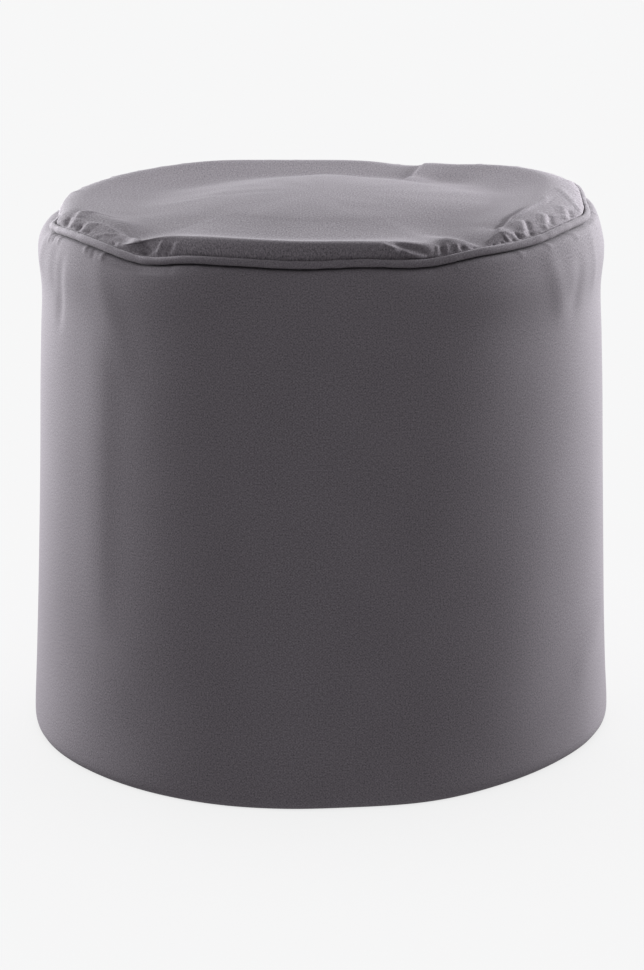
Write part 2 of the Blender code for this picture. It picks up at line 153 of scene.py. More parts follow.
# The side band from its shoulder down to the floor.
SIDE = (
    Ring(237.4, 427.0),
    Ring(238.7, 412.0),
    Ring(236.4, 383.0),
    Ring(237.9, 345.0),
    Ring(239.6, 300.0),
    Ring(241.3, 240.0),
    Ring(243.4, 175.0),
    Ring(245.5, 115.0),
    Ring(247.8, 60.0),
    Ring(249.6, 18.0),
    Ring(249.0, 6.0),
)

# Where the side band meets the floor. The unevenness dies out at FOOT_REACH.
FOOT_REACH = 90.0
FOOT_FADE = 1.5
Foot = namedtuple("Foot", "turn radius")
FOOT = (
    Foot(-180, 246.5),
    Foot(-140, 247.5),
    Foot(-100, 246.5),
    Foot(-68, 248.5),
    Foot(-50, 249.0),
    Foot(-30, 250.8),
    Foot(-18, 250.5),
    Foot(-7, 247.5),
    Foot(4, 243.8),
    Foot(22, 245.2),
    Foot(38, 240.8),
    Foot(56, 239.8),
    Foot(70, 243.0),
    Foot(84, 246.5),
    Foot(110, 247.5),
    Foot(150, 247.0),
)

# Creases and soft folds. near and far are the turns of a fold's two ends, start
# and reach their distances from the seam. left and right are its widths towards
# lower and higher turns, so a fold can be steep on one side. A negative height is
# a trough.
Fold = namedtuple("Fold", "near start far reach left right height")
TOP_FOLDS = (
    Fold(-64.7, 3, -67.1, 14, 1.8, 7.5, 1.7),
    Fold(-67.1, 14, -71, 25, 2.0, 5.0, 1.6),
    Fold(-71, 25, -69.4, 36, 2.2, 3.0, 0.9),
    Fold(-69.4, 36, -63.8, 42, 2.0, 2.0, 0.6),
    Fold(-66.8, 2, -70.2, 13, 3.0, 1.8, -2.1),
    Fold(-59.2, 3, -61.9, 15, 1.8, 7.5, 1.5),
    Fold(-60.8, 2, -62.8, 11, 2.4, 1.6, -2.0),
    Fold(-64.5, 13, -58.5, 21, 2.0, 2.0, 0.8),
    Fold(-58.5, 21, -50, 20, 2.0, 2.2, 0.9),
    Fold(-57, 2, -57.8, 8, 1.4, 1.4, -1.0),
    Fold(-54, 10, -49.9, 18, 2.2, 2.2, 0.9),
    Fold(-49.9, 18, -39.4, 15, 4.0, 3.0, 3.0),
    Fold(-52.1, 2, -53.6, 8, 1.6, 1.6, -0.8),
    Fold(-47.4, 2, -48.4, 8, 1.4, 1.4, -1.2),
    Fold(-45.8, 3, -46.9, 9, 1.4, 1.4, 0.9),
    Fold(-43, 6, -36.6, 9, 3.4, 3.4, -1.6),
    Fold(-38.4, 2, -37.4, 9, 11.0, 3.0, -3.2),
    Fold(-34.9, 3, -33.8, 16, 3.0, 2.6, 1.9),
    Fold(-32.6, 2, -31.7, 13, 1.8, 1.8, -1.9),
    Fold(-30.9, 2, -30.2, 14, 2.0, 3.4, 1.2),
    Fold(12, 15, 15.8, 9, 3.0, 3.0, 2.0),
    Fold(15.8, 9, 21.4, 3, 2.6, 2.6, 2.4),
    Fold(14.8, 18, 22, 7, 3.4, 3.4, -2.2),
    Fold(13.9, 12, 15, 4, 1.5, 1.5, 0.8),
    Fold(16.3, 8, 16.6, 3, 2.0, 2.0, -1.0),
    Fold(23.6, 3, 24.4, 13, 1.5, 1.8, 1.1),
    Fold(24.9, 2, 25.3, 11, 1.3, 1.3, -1.2),
    Fold(25.9, 3, 26.6, 13, 1.6, 1.6, 1.1),
    Fold(27.2, 2, 27.6, 7, 1.1, 1.1, -0.7),
    Fold(28.5, 3, 28.9, 11, 1.5, 1.4, 1.1),
    Fold(29.8, 2, 29.8, 9, 1.6, 1.4, -1.2),
    Fold(31.2, 2, 31, 8, 1.4, 1.4, 0.9),
    Fold(32.6, 2, 32.6, 6, 1.3, 1.3, -0.9),
    Fold(36.8, 11, 41.5, 17, 2.0, 2.6, 0.5),
    Fold(41.5, 17, 43.9, 12, 2.0, 2.4, 0.7),
    Fold(43.9, 12, 44.2, 4, 1.8, 1.8, 0.5),
    Fold(45.3, 3, 45.4, 13, 1.4, 1.6, -1.2),
    Fold(34.9, 2, 35.1, 6, 1.2, 1.2, -1.2),
    Fold(37.6, 2, 37.9, 7, 1.2, 1.3, -1.2),
    Fold(39.8, 2, 40.1, 7, 1.2, 1.4, -1.3),
    Fold(41.3, 3, 41.2, 10, 1.0, 1.0, -0.8),
    Fold(42, 4, 42, 13, 1.2, 1.2, 0.8),
    Fold(43, 2, 43.1, 6, 1.3, 1.4, -1.4),
    Fold(42, 21, 51.4, 34, 2.0, 2.0, 1.5),
    Fold(51.4, 34, 66.8, 40, 2.0, 2.0, 1.5),
    Fold(66.8, 40, 80, 37, 2.2, 2.2, 1.1),
    Fold(44, 27, 53, 41, 3.0, 3.0, -1.8),
    Fold(53, 41, 66, 47, 3.0, 3.0, -1.5),
    Fold(46.9, 3, 47.6, 10, 4.0, 1.6, 1.0),
    Fold(47.6, 10, 51.8, 25, 6.0, 1.8, 1.1),
    Fold(48.7, 3, 49.6, 10, 1.8, 3.6, -1.5),
    Fold(49.6, 10, 52.8, 22, 1.6, 2.6, -1.3),
    Fold(52.1, 2, 52.1, 6, 1.2, 1.2, 0.7),
    Fold(54.6, 3, 55.9, 9, 4.5, 1.6, 0.9),
    Fold(55.9, 9, 61.1, 21, 5.0, 1.8, 1.0),
    Fold(57.6, 7, 61.6, 17, 1.6, 3.0, -1.1),
    Fold(57.2, 2, 57.2, 5, 1.2, 1.2, 0.7),
    Fold(64.1, 3, 66, 9, 4.5, 1.6, 0.9),
    Fold(66, 9, 72.4, 20, 4.5, 1.8, 1.0),
    Fold(66.4, 4, 70.2, 14, 1.6, 3.0, -1.0),
    Fold(72, 4, 78, 14, 2.2, 4.0, 0.9),
    Fold(78, 14, 92.6, 25, 2.2, 4.0, 0.8),
    Fold(153.5, 12, 146.5, 112, 18.0, 3.0, 3.4),
    Fold(-171, 3, -168, 16, 6.0, 6.0, 0.7),
    Fold(-140, 3, -137, 17, 7.0, 7.0, 0.8),
    Fold(-121, 3, -118, 16, 6.0, 6.0, -1.0),
    Fold(-102, 3, -99, 17, 6.0, 6.0, 0.8),
)
SIDE_FOLDS = (
    Fold(-47.5, 40, -48.5, 330, 27.0, 18.0, 1.8),
    Fold(-62, 22, -66, 90, 9.0, 7.0, -1.2),
    Fold(-72, 10, -72.6, 20, 1.8, 2.4, 0.9),
    Fold(-69.4, 10, -70, 18, 1.8, 1.8, -1.0),
    Fold(-66, 10, -67, 18, 1.8, 2.2, 0.9),
    Fold(-55, 10, -54, 17, 2.0, 2.4, 0.8),
    Fold(-52, 10, -51, 19, 2.4, 2.4, -0.6),
    Fold(-48.8, 10, -48.6, 18, 1.8, 2.2, 0.7),
    Fold(-8.1, 12, -8.3, 18, 3.0, 3.0, -0.7),
    Fold(2.1, 12, 2.1, 18, 3.0, 3.0, -0.7),
    Fold(8.6, 12, 8.8, 18, 3.0, 3.0, -0.7),
    Fold(42.6, 10, 43.4, 18, 3.0, 3.0, 0.5),
    Fold(51, 10, 52.4, 18, 3.0, 3.0, 0.5),
    Fold(60, 10, 63.5, 20, 2.6, 3.4, 0.6),
    Fold(75, 13, 78, 23, 2.6, 3.0, 0.6),
    Fold(-74, 12, -79, 52, 7.0, 9.0, 1.1),
    Fold(-66, 14, -68, 60, 9.0, 9.0, -0.8),
    Fold(-50, 14, -40, 110, 14.0, 14.0, 0.8),
    Fold(50, 16, 56, 80, 10.0, 10.0, 0.9),
    Fold(62, 30, 60, 84, 9.0, 9.0, -0.7),
    Fold(70, 16, 71, 70, 9.0, 9.0, 0.7),
    Fold(80, 330, 58, 392, 16.0, 16.0, 1.2),
    Fold(120, 10, 128, 90, 12.0, 12.0, 1.2),
    Fold(104, 12, 101, 120, 9.0, 11.0, -1.0),
    Fold(142, 14, 146, 140, 12.0, 9.0, 1.0),
    Fold(160, 12, 154, 96, 14.0, 14.0, -1.1),
    Fold(180, 6, 180, 442, 2.2, 2.2, -0.9),
    Fold(-165, 14, -160, 150, 10.0, 14.0, 0.9),
    Fold(-126, 14, -122, 130, 9.0, 12.0, 0.9),
    Fold(-140, 12, -148, 90, 12.0, 12.0, 1.2),
    Fold(-112, 14, -106, 80, 11.0, 11.0, -1.0),
)
# A fold keeps END_SHARE of its height at its ends, and is worked out as far as
# FOLD_SPREAD widths from them. None rises within SEWN_MARGIN of the seam, and each is
# at its full height FADE_IN further on.
END_SHARE = 0.15
FOLD_SPREAD = 3
SEWN_MARGIN = 2.0
FADE_IN = 4.0

# How strongly the cloth is gathered at the seam, round the pouf.
Gather = namedtuple("Gather", "turn top side")
GATHERS = (
    Gather(-180, 0.6, 0.8),
    Gather(-120, 0.6, 0.8),
    Gather(-100, 0.4, 0.6),
    Gather(-84, 0.25, 0.3),
    Gather(-70, 0.15, 0.1),
    Gather(-46, 0.15, 0.15),
    Gather(-34, 0.1, 0.25),
    Gather(-10, 0.06, 0.15),
    Gather(14, 0.08, 0.2),
    Gather(30, 0.1, 0.2),
    Gather(42, 0.1, 0.15),
    Gather(54, 0.1, 0.15),
    Gather(76, 0.2, 0.25),
    Gather(100, 0.4, 0.6),
    Gather(130, 0.6, 0.8),
)

# A short pucker near the seam: its start, spacing, length, width and height before its
# chance, and the seed of that. The chance is its place as a share of the spacing, its
# slant in degrees, and shares of its size, length and width. A strong pucker is longer.
Pucker = namedtuple("Pucker", "start spacing length width height seed")
TOP_PUCKER = Pucker(1.5, 8.0, 13.0, 2.2, 1.0, 11)
SIDE_PUCKER = Pucker(7.5, 9.0, 20.0, 2.6, 0.9, 37)
Chance = namedtuple("Chance", "place size slant length width")
PUCKER_CHANCE = Chance((-0.35, 0.35), (0.4, 1.3), (-1.4, 1.4), (0.6, 1.4), (0.8, 1.3))
PUCKER_SHORTEST = 0.5
PUCKER_LONGEST = 1.4

# Slow unevenness of the cloth: its size, how far a wave reaches before its chance, how
# far from an edge it fades, and its seed. WAVE_COUNTS are its waves round the pouf.
Wave = namedtuple("Wave", "size reach fade seed")
TOP_WAVE = Wave(0.25, 45, 60, 5)
SIDE_WAVE = Wave(0.5, 110, 40, 23)
WAVE_COUNTS = range(3, 15)
WAVE_CHANCE = (0.6, 1.6)

# Lumps of the cord in the piping, by their count round the pouf.
LUMP_COUNTS = range(20, 110, 3)
LUMP_HEIGHT = 0.04 * MM
LUMP_SEED = 71

# The base disc's rings as shares of its edge, below and above, and its edge's heights.
BASE_LOWER = (0.25, 0.5, 0.75, 0.95, 0.995)
BASE_UPPER = (0.995, 0.95, 0.5)
BASE_EDGE = (0.5 * MM, 1.5 * MM)

# Where the weave lies on the faces that don't show, as distances along the cloth, and
# the top's last ring from its middle with the rise between them.
TOP_BED_WEAVE = 50.0 * MM
SIDE_BED_WEAVE = (-200.0 * MM, -10.0 * MM)
HEM_WEAVE = (460.0 * MM, 462.0 * MM)
MIDDLE_REACH = 20.0 * MM
MIDDLE_RISE = 0.1 * MM


def around(table, name, turns):
    """A column's value at each turn: cubic arcs through the table's rows, closed round 360 degrees.

    Each arc is the straight line between two rows plus t (1 - t) times a bend, which gives it
    at each row a slope between those on the row's two sides.
    """
    at = np.array([row.turn for row in table], float)
    values = np.array([getattr(row, name) for row in table], float)
    at = np.concatenate([at[-2:] - 360, at, at[:2] + 360])
    values = np.concatenate([values[-2:], values, values[:2]])
    slopes = np.gradient(values, at)
    wrapped = (np.asarray(turns) + 180) % 360 - 180
    left = np.clip(np.searchsorted(at, wrapped, side="right") - 1, 0, len(at) - 2)
    span = at[left + 1] - at[left]
    t = (wrapped - at[left]) / span
    rise = values[left + 1] - values[left]
    bend = (1 - t) * (slopes[left] * span - rise) - t * (slopes[left + 1] * span - rise)
    return values[left] + t * rise + t * (1 - t) * bend


def smooth_rows(keys, parts):
    """Rows on a Catmull-Rom curve through the key rows: span i is cut into parts[i] steps."""
    keys = np.array([np.stack(key, axis=-1) for key in keys])
    keys = np.concatenate([2 * keys[:1] - keys[1:2], keys, 2 * keys[-1:] - keys[-2:-1]])
    span = np.repeat(np.arange(len(parts)), parts)
    t = np.concatenate([np.arange(count) / count for count in parts])[:, None, None]
    before, first, last, after = (keys[span + i] for i in range(4))
    straight = first + 0.5 * t * (last - before)
    square = t**2 * (before - 2.5 * first + 2 * last - 0.5 * after)
    cube = t**3 * (1.5 * (first - last) + 0.5 * (after - before))
    return np.concatenate([straight + square + cube, keys[-2:-1]])


def as_points(rows, turns):
    """(radius, height) to (x, y, z): x is radius times the turn's sine, y minus radius times its cosine."""
    angle = np.radians(turns)
    radius, height = rows[..., 0], rows[..., 1]
    return np.stack([radius * np.sin(angle), -radius * np.cos(angle), height], axis=-1)


def ring(radius, height, turns):
    """Closed rings of points, each at a radius and a height that may change round it."""
    radius, height = np.broadcast_arrays(radius, height, turns)[:2]
    return as_points(np.stack([radius, height], axis=-1), turns)


def seam(turns):
    """The seam's radius and height at each turn, in metres."""
    return around(RIM, "seam_r", turns) * MM, around(RIM, "seam_z", turns) * MM


def outward(points, side):
    """Unit normals of a closed band: the cross product of its steps round and along, turned by side."""
    along = np.gradient(points, axis=0)
    across = np.roll(points, -1, axis=1) - np.roll(points, 1, axis=1)
    normals = side * np.cross(across, along)
    return normals / np.linalg.norm(normals, axis=-1, keepdims=True)


def from_seam(points):
    """Each point's distance from the seam, in mm: the lengths of the steps along its column, summed."""
    steps = np.linalg.norm(np.diff(points, axis=0), axis=-1)
    return np.concatenate([np.zeros((1, points.shape[1])), np.cumsum(steps, axis=0)]) / MM


def ridge(turns, down, radius, fold):
    """A fold's height at each point: height times taper times exp(-(off / width)^2).

    off is the distance from the line between its ends, and share how far along the line
    the point lies. taper is 1 + END_SHARE - |2 share - 1|^3, between 0 and 1.
    """
    middle = (fold.near + fold.far) / 2
    half = math.radians(fold.far - fold.near) / 2 * SEAM_RADIUS / MM
    run, rise = 2 * half, fold.reach - fold.start
    sideways = np.radians((turns - middle + 180) % 360 - 180) * radius + half
    below = down - fold.start
    share = np.clip((sideways * run + below * rise) / (run**2 + rise**2), 0, 1)
    off_x, off_y = sideways - share * run, below - share * rise
    width = np.where(off_x < 0, fold.left, fold.right)
    taper = np.clip(1 + END_SHARE - np.abs(2 * share - 1) ** 3, 0, 1)
    return fold.height * taper * np.exp(-(off_x**2 + off_y**2) / width**2)


def pucker_folds(pucker, strength):
    """Seeded short folds across the seam, one for each spacing round it, scaled by the gathers there."""
    draw = np.random.default_rng(pucker.seed)
    count = round(2 * math.pi * SEAM_RADIUS / MM / pucker.spacing)
    step = 360 / count
    folds = []
    for i in range(count):
        turn = -180 + step * (i + draw.uniform(*PUCKER_CHANCE.place))
        size = around(GATHERS, strength, turn) * draw.uniform(*PUCKER_CHANCE.size)
        slant = draw.uniform(*PUCKER_CHANCE.slant)
        stretch = draw.uniform(*PUCKER_CHANCE.length) * min(PUCKER_LONGEST, PUCKER_SHORTEST + size)
        width = pucker.width * draw.uniform(*PUCKER_CHANCE.width)
        height = pucker.height * size * draw.choice((-1, 1))
        folds.append(Fold(turn, pucker.start, turn + slant, pucker.length * stretch, width, width, height))
    return folds


def lay_folds(points, turns, folds, side, ripple):
    """Moves the points along their normals by the sum of the folds and a ripple, faded in at the seam."""
    down = from_seam(points)
    radius = np.hypot(points[..., 0], points[..., 1]) / MM
    lift = np.array(ripple, float)
    for fold in folds:
        margin = FOLD_SPREAD * max(fold.left, fold.right)
        low, high = min(fold.start, fold.reach) - margin, max(fold.start, fold.reach) + margin
        rows = np.flatnonzero((down.max(axis=1) > low) & (down.min(axis=1) < high))
        lift[rows] += ridge(turns, down[rows], radius[rows], fold)
    lift *= np.clip((down - SEWN_MARGIN) / FADE_IN, 0, 1)
    return points + outward(points, side) * lift[..., None] * MM


def ripples(turns, down, wave):
    """Slow seeded waves: the sum of cos(n turn + phase + down / length) cos(down / length + shift)
    over the counts n, times the wave's size, over the root of how many counts there are."""
    draw = np.random.default_rng(wave.seed)
    angle = np.radians(turns)
    total = np.zeros_like(down)
    for count in WAVE_COUNTS:
        phase, shift = draw.uniform(0, 2 * math.pi, 2)
        length = wave.reach * draw.uniform(*WAVE_CHANCE)
        total += np.cos(count * angle + phase + down / length) * np.cos(down / length + shift)
    return wave.size * total / math.sqrt(len(WAVE_COUNTS))


def top_points(turns):
    """The top disc's cloth: for each turn a smooth section over the roll and the moat to the crown."""
    at = Section(turns, *(around(RIM, name, turns) * MM for name in Section._fields[1:]))
    breadth, rise = at.seam_r - at.crest_r, at.crest_z - at.seam_z
    width, depth = at.crest_r - at.moat_r, at.crest_z - at.moat_z
    between = (at.moat_z + at.crown_z) / 2 - MOAT_SAG
    keys = [(at.seam_r - SEAM_INSET, at.seam_z + GAP / 2)]
    keys.append((at.seam_r - ROLL_FOOT.inward, at.seam_z + ROLL_FOOT.height))
    for face in ROLL_FACE:
        keys.append((at.seam_r + at.lean - face.inward * breadth, at.seam_z + face.height * rise))
    keys.append((at.crest_r, at.crest_z))
    keys.append((at.crest_r - ROLL_BACK.inward * width, at.crest_z - ROLL_BACK.height * depth))
    keys.append((at.moat_r, at.moat_z))
    keys.append(((at.moat_r + at.crown_r) / 2, between))
    for level in CROWN:
        keys.append((level.radius * at.crown_r, at.crown_z + level.height * (CROWN_HEIGHT - at.crown_z)))
    return as_points(smooth_rows(keys, TOP_ROWS), turns)


def side_points(turns):
    """The side band's cloth: for each turn a smooth section from the seam down to the floor."""
    seam_r, seam_z = seam(turns)
    foot = around(FOOT, "radius", turns) * MM
    spread = foot - np.mean(foot)
    keys = [(seam_r - SEAM_INSET, seam_z - GAP / 2)]
    for tuck in TUCK:
        keys.append((seam_r + tuck.radius * MM, seam_z + tuck.height * MM))
    keys.append((seam_r + SHOULDER_SHARE * (SHOULDER_RADIUS - seam_r), seam_z - SHOULDER_DROP))
    for level in SIDE:
        low = max(0, 1 - level.height / FOOT_REACH) ** FOOT_FADE
        keys.append((level.radius * MM + spread * low, np.full_like(turns, level.height * MM)))
    keys.append((foot, np.full_like(turns, FOOT_HEIGHT)))
    return as_points(smooth_rows(keys, SIDE_ROWS), turns)


def bed_rows(turns, side):
    """Rings of the hidden face: side +1 is the top's face there, -1 the side band's."""
    seam_r, seam_z = seam(turns)
    radius, lift = seam_r - SEAM_INSET, side * GAP / 2
    rows = [ring(level.radius * radius, level.height * MM + lift, turns) for level in BED]
    return rows + [ring(BED_EDGE.radius * radius, seam_z + BED_EDGE.height * MM + lift, turns)]


def place(name, data):
    """A new object in the scene for a mesh, a light or a camera."""
    made = bpy.data.objects.new(name, data)
    bpy.context.scene.collection.objects.link(made)
    return made


def piece(name, points, faces, uv):
    """A mesh object from points, faces and one UV pair for each face corner, shaded smooth."""
    mesh = bpy.data.meshes.new(name)
    mesh.from_pydata(points.reshape(-1, 3), [], faces)
    layer = mesh.uv_layers.new(name=WEAVE_UV)
    layer.data.foreach_set("uv", np.ascontiguousarray(uv, dtype=np.float32).ravel())
    mesh.shade_smooth()
    mesh.validate()
    return place(name, mesh)


def grid(rows, columns, flat):
    """Faces that join a grid's rows, closed round its columns, and their corners' cloth coordinates.

    flat gives a (u, v) for one column more than the grid has. With one row more as well,
    the last row is joined to the first.
    """
    i, j = np.meshgrid(np.arange(len(flat) - 1), np.arange(columns), indexing="ij")
    here, below = i * columns, (i + 1) % rows * columns
    beside = (j + 1) % columns
    quads = np.stack([here + j, here + beside, below + beside, below + j], axis=-1)
    uv = np.stack([flat[i, j], flat[i, j + 1], flat[i + 1, j + 1], flat[i + 1, j]], axis=2)
    return quads.reshape(-1, 4).tolist(), uv.reshape(-1, 2)


def loft(name, rows, first_pole, last_pole, flat, out):
    """A closed solid through rings of points, shut by a fan of faces to a pole at each end.

    flat is as for grid. out is False where the rings' order would turn the faces inwards.
    """
    count, columns = rows.shape[:2]
    faces, corners = grid(count, columns, flat)
    here = np.arange(columns)
    beside = (here + 1) % columns
    pole, last = count * columns, (count - 1) * columns
    fans = (
        ((pole, beside, here), (flat[0].mean(axis=0), flat[0, 1:], flat[0, :-1])),
        ((pole + 1, last + here, last + beside), (flat[-1].mean(axis=0), flat[-1, :-1], flat[-1, 1:])),
    )
    for fan, uv in fans:
        faces += np.stack(np.broadcast_arrays(*fan), axis=-1).tolist()
        corners = np.concatenate([corners, np.stack(np.broadcast_arrays(*uv), axis=1).reshape(-1, 2)])
    points = np.concatenate([rows.reshape(-1, 3), [first_pole, last_pole]])
    made = piece(name, points, faces, corners)
    if not out:
        made.data.flip_normals()
    return made


def turns_for(columns):
    """The turns of a ring's columns, evenly spaced from the back seam round."""
    return np.arange(columns) * 360 / columns - 180


def top_cloth():
    """The top disc: its weave lies straight, so a point's cloth coordinates are its distance from the
    middle along the cloth, times the sine and the cosine of its turn."""
    turns = turns_for(TOP_COLUMNS)
    plain = top_points(turns)
    down = from_seam(plain)
    fade = np.clip((down[-1] - down) / TOP_WAVE.fade, 0, 1)
    folds = list(TOP_FOLDS) + pucker_folds(TOP_PUCKER, "top")
    cloth = lay_folds(plain, turns, folds, 1, ripples(turns, down, TOP_WAVE) * fade)
    rows = np.concatenate([bed_rows(turns, 1), cloth])
    length = (down[-1:] - down).mean(axis=1) * MM + MIDDLE_REACH
    bed = np.linspace(TOP_BED_WEAVE, length[0], len(rows) - len(cloth))
    flat = ring(np.concatenate([bed, length])[:, None], 0.0, np.append(turns, 180.0))[..., :2]
    peak = float(cloth[-1, :, 2].mean()) + MIDDLE_RISE
    return loft("top_cloth", rows, (0, 0, BED_PEAK + GAP / 2), (0, 0, peak), flat, out=False)


def side_cloth():
    """The side band: its cloth coordinates are the way round at the shoulder and the distance down."""
    turns = turns_for(SIDE_COLUMNS)
    plain = side_points(turns)
    down = from_seam(plain)
    fade = np.clip(down / SIDE_WAVE.fade, 0, 1) * np.clip((down[-1] - down) / SIDE_WAVE.fade, 0, 1)
    folds = list(SIDE_FOLDS) + pucker_folds(SIDE_PUCKER, "side")
    cloth = lay_folds(plain, turns, folds, -1, ripples(turns, down, SIDE_WAVE) * fade)
    foot = np.hypot(cloth[-1, :, 0], cloth[-1, :, 1]) - BASE_INSET + GAP
    level = BASE_THICKNESS + GAP
    hem = [ring(foot, HEM_HEIGHT, turns), ring(foot, level, turns)]
    bed = bed_rows(turns, -1)
    rows = np.concatenate([bed, cloth, hem])
    u = np.radians(np.append(turns, 180.0)) * SHOULDER_RADIUS
    v = np.concatenate([np.linspace(*SIDE_BED_WEAVE, len(bed)), down.mean(axis=1) * MM, HEM_WEAVE])
    flat = np.stack(np.broadcast_arrays(u, -v[:, None]), axis=-1)
    return loft("side_cloth", rows, (0, 0, BED_PEAK - GAP / 2), (0, 0, level), flat, out=True)


def piping_cloth():
    """The corded piping: a circle of PIPING_RADIUS carried along the seam, a little lumpy over its cord.

    The lumps are a seeded sum of cos(n turn + phase) over the counts n.
    """
    turns = turns_for(PIPING_COLUMNS)
    angle = np.radians(turns)
    draw = np.random.default_rng(LUMP_SEED)
    lumps = sum(draw.uniform(-1, 1) * np.cos(n * angle + draw.uniform(0, 2 * math.pi)) for n in LUMP_COUNTS)
    seam_r, seam_z = seam(turns)
    centre = ring(seam_r + PIPING_OUT, seam_z + PIPING_UP, turns)
    run = np.roll(centre, -1, axis=0) - np.roll(centre, 1, axis=0)
    run /= np.linalg.norm(run, axis=1, keepdims=True)
    up = np.cross(run, ring(1.0, 0.0, turns))
    up /= np.linalg.norm(up, axis=1, keepdims=True)
    out = np.cross(up, run)
    roll = np.radians(np.arange(PIPING_SIDES) * 360 / PIPING_SIDES)[:, None, None]
    radius = (PIPING_RADIUS + LUMP_HEIGHT * lumps)[None, :, None]
    points = centre + radius * (np.cos(roll) * out + np.sin(roll) * up)
    u = np.arange(PIPING_COLUMNS + 1) * 2 * math.pi * SEAM_RADIUS / PIPING_COLUMNS
    v = np.arange(PIPING_SIDES + 1) * 2 * math.pi * PIPING_RADIUS / PIPING_SIDES
    flat = np.stack(np.broadcast_arrays(u, v[:, None]), axis=-1)
    return piece("piping_cloth", points, *grid(PIPING_SIDES, PIPING_COLUMNS, flat))


def base_cloth():
    """The base disc: rings from its middle out, a flat lower face and an upper face BASE_THICKNESS above."""
    turns = turns_for(BASE_COLUMNS)
    edge = around(FOOT, "radius", turns) * MM - BASE_INSET
    lower = [ring(share * edge, 0.0, turns) for share in BASE_LOWER]
    rim = [ring(edge, height, turns) for height in BASE_EDGE]
    upper = [ring(share * edge, BASE_THICKNESS, turns) for share in BASE_UPPER]
    rows = np.array(lower + rim + upper)
    flat = np.concatenate([rows[..., :2], rows[:, :1, :2]], axis=1)
    return loft("base_cloth", rows, (0, 0, 0), (0, 0, BASE_THICKNESS), flat, out=False)


# The cloth's two greys, and where they lie on its mix of 0 to 1, which is 0.5 on average.
GREYS = ("4A454A", "857F85")
GREY_STOPS = (0.1, 0.9)
# What is mixed: a grain of 1.3 mm, clouds of 60 mm, streaks of the size that each cloth
# has, and the threads that lie on top. The streaks' share is each cloth's own: on the side
# band, the base and the piping they are slubs in the yarn, and on the top their large share
# is painted sheen of the threads.
GRAIN = {"Scale": 1 / (1.3 * MM), "Detail": 1.0, "Roughness": 0.8}
CLOUDS = {"Scale": 1 / (60 * MM), "Detail": 2.0}
SLUB_AND_SHEEN_NOISE = {"Scale": 1.0, "Detail": 1.0}
GRAIN_SHARE, CLOUD_SHARE, OVER_SHARE = 1.25, 0.1, 0.06
# The relief: how much the grain adds to the threads, and the depth of both.
GRAIN_RELIEF = 2.0
RELIEF = {"Strength": 0.5, "Distance": 0.08 * MM}
# The finish: dull, a little smoother on the threads' tops, with a faint pale fuzz.
ROUGHNESS, TOPS_SMOOTHER = 0.95, 0.08
FINISH = {
    "Specular IOR Level": 0.25,
    "Sheen Weight": 0.05,
    "Sheen Roughness": 0.45,
}
FUZZ_COLOUR = "E8E4EA"


def linear(code):
    """An sRGB hex colour as linear red, green, blue and alpha."""
    parts = [int(code[i : i + 2], 16) / 255 for i in (0, 2, 4)]
    return [p / 12.92 if p <= 0.04045 else ((p + 0.055) / 1.055) ** 2.4 for p in parts] + [1.0]


def feed(node, inputs):
    """Gives each input of a shader node a value or another node's output."""
    for name, value in inputs.items():
        if isinstance(value, bpy.types.NodeSocket):
            node.id_data.links.new(value, node.inputs[name])
        else:
            node.inputs[name].default_value = value


def add(tree, kind, inputs, **settings):
    """Adds a shader node with its inputs and settings, and gives back its first output."""
    made = tree.nodes.new("ShaderNode" + kind)
    for name, value in settings.items():
        setattr(made, name, value)
    feed(made, inputs)
    return made.outputs[0]


